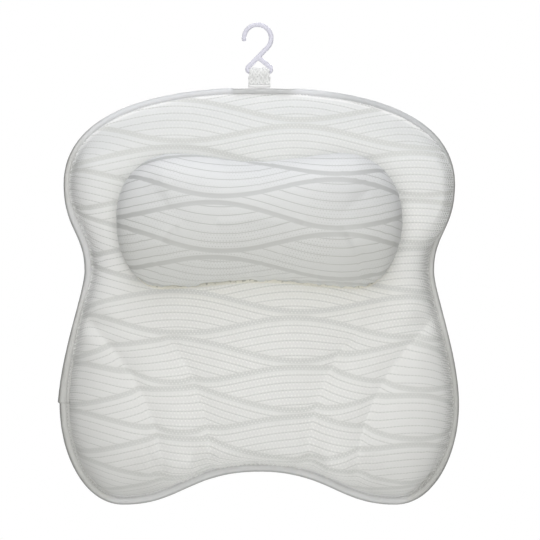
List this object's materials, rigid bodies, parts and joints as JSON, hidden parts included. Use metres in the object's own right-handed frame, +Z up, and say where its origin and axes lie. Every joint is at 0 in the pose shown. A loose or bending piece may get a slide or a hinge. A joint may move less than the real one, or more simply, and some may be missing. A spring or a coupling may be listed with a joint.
{
  "type": "bath pillow",
  "caption": "Butterfly-shaped padded bath pillow with a stuffed neck bolster, bound edge, hanging loop with a plastic hook, and suction cups in grommets on its back.",
  "frame": {"origin": "point of the wall plane behind the middle of the pad, at the height of its waist; the cup rims lie in that plane", "axes": "+Z up along the pad towards the hook, -Y out of the padded front, +Y into the wall, +X to the right seen from the front"},
  "size_m": [0.3998, 0.11, 0.4823],
  "materials": {
    "mesh_fabric": "matte white air mesh embossed with wave lines",
    "back_mesh": "matte white open mesh",
    "bolster_fabric": "smooth white knit embossed with wave lines",
    "binding_tape": "white satin tape",
    "fibre_fill": "white polyester fibre",
    "strap_mesh": "white mesh webbing",
    "hook_plastic": "white moulded plastic, slightly lavender",
    "grommet_plastic": "white moulded plastic",
    "clear_vinyl": "clear soft vinyl"
  },
  "bodies": {
    "pad": {"front_panel": "mesh_fabric", "back_panel": "back_mesh", "edge_binding": "binding_tape", "upper_fibre_pad": "fibre_fill", "centre_fibre_pad": "fibre_fill", "middle_fibre_pad_left": "fibre_fill", "middle_fibre_pad_right": "fibre_fill", "wing_fibre_pad_left": "fibre_fill", "wing_fibre_pad_right": "fibre_fill", "bolster_cover": "bolster_fabric", "bolster_filling": "fibre_fill", "grommet_upper_left": "grommet_plastic", "grommet_upper_right": "grommet_plastic", "grommet_middle_left": "grommet_plastic", "grommet_middle_right": "grommet_plastic", "grommet_lower_left": "grommet_plastic", "grommet_lower_right": "grommet_plastic", "lock_washer_upper_left": "grommet_plastic", "lock_washer_upper_right": "grommet_plastic", "lock_washer_middle_left": "grommet_plastic", "lock_washer_middle_right": "grommet_plastic", "lock_washer_lower_left": "grommet_plastic", "lock_washer_lower_right": "grommet_plastic", "loop_anchor": "binding_tape"},
    "loop": {"hang_loop": "strap_mesh"},
    "hook": {"hook": "hook_plastic"},
    "cup_upper_left": {"suction_cup_upper_left": "clear_vinyl"},
    "cup_upper_right": {"suction_cup_upper_right": "clear_vinyl"},
    "cup_middle_left": {"suction_cup_middle_left": "clear_vinyl"},
    "cup_middle_right": {"suction_cup_middle_right": "clear_vinyl"},
    "cup_lower_left": {"suction_cup_lower_left": "clear_vinyl"},
    "cup_lower_right": {"suction_cup_lower_right": "clear_vinyl"}
  },
  "joints": [
    {"name": "loop_flex", "type": "hinge", "parent": "pad", "child": "loop", "pos_m": [0, -0.0165, 0.1889], "axis": [1, 0, 0], "range_deg": [-30, 30], "stiffness_Nm_per_rad": 0.02},
    {"name": "hook_swing", "type": "hinge", "parent": "loop", "child": "hook", "pos_m": [0, -0.0165, 0.1993], "axis": [1, 0, 0], "range_deg": [-90, 90]},
    {"name": "cup_upper_left_turn", "type": "hinge", "parent": "pad", "child": "cup_upper_left", "pos_m": [-0.105, 0, 0.098], "axis": [0, 1, 0], "continuous": true},
    {"name": "cup_upper_right_turn", "type": "hinge", "parent": "pad", "child": "cup_upper_right", "pos_m": [0.105, 0, 0.098], "axis": [0, 1, 0], "continuous": true},
    {"name": "cup_middle_left_turn", "type": "hinge", "parent": "pad", "child": "cup_middle_left", "pos_m": [-0.118, 0, -0.018], "axis": [0, 1, 0], "continuous": true},
    {"name": "cup_middle_right_turn", "type": "hinge", "parent": "pad", "child": "cup_middle_right", "pos_m": [0.118, 0, -0.018], "axis": [0, 1, 0], "continuous": true},
    {"name": "cup_lower_left_turn", "type": "hinge", "parent": "pad", "child": "cup_lower_left", "pos_m": [-0.128, 0, -0.152], "axis": [0, 1, 0], "continuous": true},
    {"name": "cup_lower_right_turn", "type": "hinge", "parent": "pad", "child": "cup_lower_right", "pos_m": [0.128, 0, -0.152], "axis": [0, 1, 0], "continuous": true}
  ]
}
